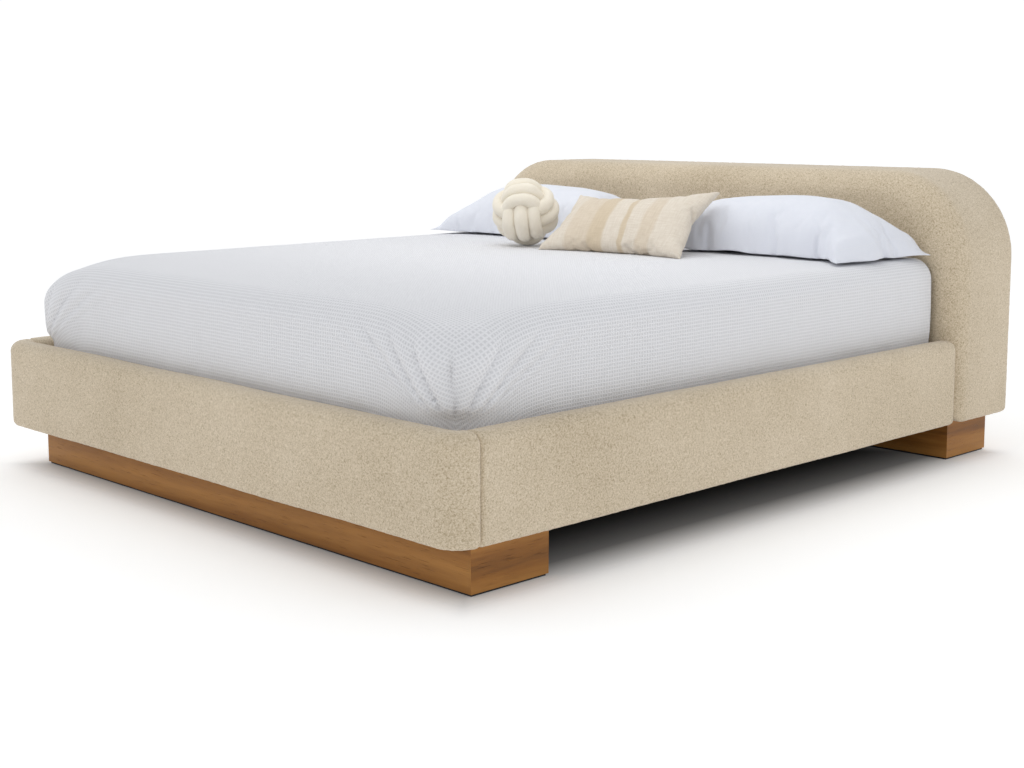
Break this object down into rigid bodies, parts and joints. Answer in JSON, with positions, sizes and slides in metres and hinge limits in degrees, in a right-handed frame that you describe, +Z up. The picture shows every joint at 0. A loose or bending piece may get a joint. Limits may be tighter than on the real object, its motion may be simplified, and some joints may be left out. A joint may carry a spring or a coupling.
{
  "type": "upholstered bed",
  "caption": "King-size platform bed with boucle rails and a round-shouldered headboard on timber plinths, dressed with mattress, blanket, pillows and cushions.",
  "frame": {"origin": "on the floor under the middle of the bed's outer box", "axes": "+Z up, +Y from the foot towards the headboard, +X to the right of a viewer at the foot who faces the headboard"},
  "size_m": [2.128, 2.464, 0.928],
  "materials": {
    "boucle": "matte",
    "oak": "satin",
    "frame_timber": "matte",
    "plywood": "matte",
    "slat_wood": "matte",
    "foam": "matte",
    "glide_plastic": "matte",
    "black_steel": "matte",
    "zinc_steel": "satin",
    "webbing": "matte",
    "mattress_ticking": "matte",
    "blanket_cotton": "matte",
    "pillow_cotton": "matte",
    "lumbar_linen": "matte",
    "knot_knit": "matte"
  },
  "bodies": {
    "bed_frame": {"foot_rail_core": "frame_timber", "foot_rail_foam": "foam", "foot_rail_cover": "boucle", "side_rail_core_left": "frame_timber", "side_rail_foam_left": "foam", "side_rail_cover_left": "boucle", "side_rail_core_right": "frame_timber", "side_rail_foam_right": "foam", "side_rail_cover_right": "boucle", "headboard_panel": "plywood", "headboard_hoop": "plywood", "headboard_bottom_rail": "frame_timber", "headboard_stile_left": "frame_timber", "headboard_stile_right": "frame_timber", "headboard_foam": "foam", "headboard_cover": "boucle", "headboard_back_cloth": "boucle", "foot_plinth_front": "oak", "foot_plinth_right": "oak", "foot_plinth_back": "oak", "foot_plinth_left": "oak", "foot_glides": "glide_plastic", "head_plinth_front": "oak", "head_plinth_right": "oak", "head_plinth_back": "oak", "head_plinth_left": "oak", "head_glides": "glide_plastic", "foot_plinth_top": "plywood", "foot_bearer": "frame_timber", "centre_beam": "frame_timber", "beam_hangers": "zinc_steel", "centre_leg_1": "black_steel", "centre_leg_2": "black_steel", "centre_leg_3": "black_steel", "slat_ledge_left": "frame_timber", "slat_strap_left": "webbing", "slat_ledge_right": "frame_timber", "slat_strap_right": "webbing", "slat_01": "slat_wood", "slat_02": "slat_wood", "slat_03": "slat_wood", "slat_04": "slat_wood", "slat_05": "slat_wood", "slat_06": "slat_wood", "slat_07": "slat_wood", "slat_08": "slat_wood", "slat_09": "slat_wood", "slat_10": "slat_wood", "slat_11": "slat_wood", "corner_brackets": "zinc_steel", "frame_bolts": "zinc_steel"},
    "leveller_1": {"leveller_1": "glide_plastic"},
    "leveller_2": {"leveller_2": "glide_plastic"},
    "leveller_3": {"leveller_3": "glide_plastic"},
    "mattress": {"mattress": "mattress_ticking", "blanket": "blanket_cotton"},
    "pillow_left": {"pillow_left": "pillow_cotton"},
    "pillow_right": {"pillow_right": "pillow_cotton"},
    "lumbar": {"lumbar_cushion": "lumbar_linen"},
    "knot": {"knot_cushion": "knot_knit"}
  },
  "joints": [
    {"name": "mattress_lift", "type": "slide", "parent": "bed_frame", "child": "mattress", "axis": [0, 0, 1], "range_m": [0, 0.65]},
    {"name": "pillow_left_lift", "type": "slide", "parent": "mattress", "child": "pillow_left", "axis": [0, 0, 1], "range_m": [0, 0.3]},
    {"name": "pillow_right_lift", "type": "slide", "parent": "mattress", "child": "pillow_right", "axis": [0, 0, 1], "range_m": [0, 0.3]},
    {"name": "lumbar_lift", "type": "slide", "parent": "pillow_right", "child": "lumbar", "axis": [0, 0, 1], "range_m": [0, 0.3]},
    {"name": "knot_lift", "type": "slide", "parent": "mattress", "child": "knot", "axis": [0, 0, 1], "range_m": [0, 0.3]},
    {"name": "leveller_1_travel", "type": "slide", "parent": "bed_frame", "child": "leveller_1", "axis": [0, 0, 1], "range_m": [0, 0.012]},
    {"name": "leveller_2_travel", "type": "slide", "parent": "bed_frame", "child": "leveller_2", "axis": [0, 0, 1], "range_m": [0, 0.012]},
    {"name": "leveller_3_travel", "type": "slide", "parent": "bed_frame", "child": "leveller_3", "axis": [0, 0, 1], "range_m": [0, 0.012]}
  ]
}
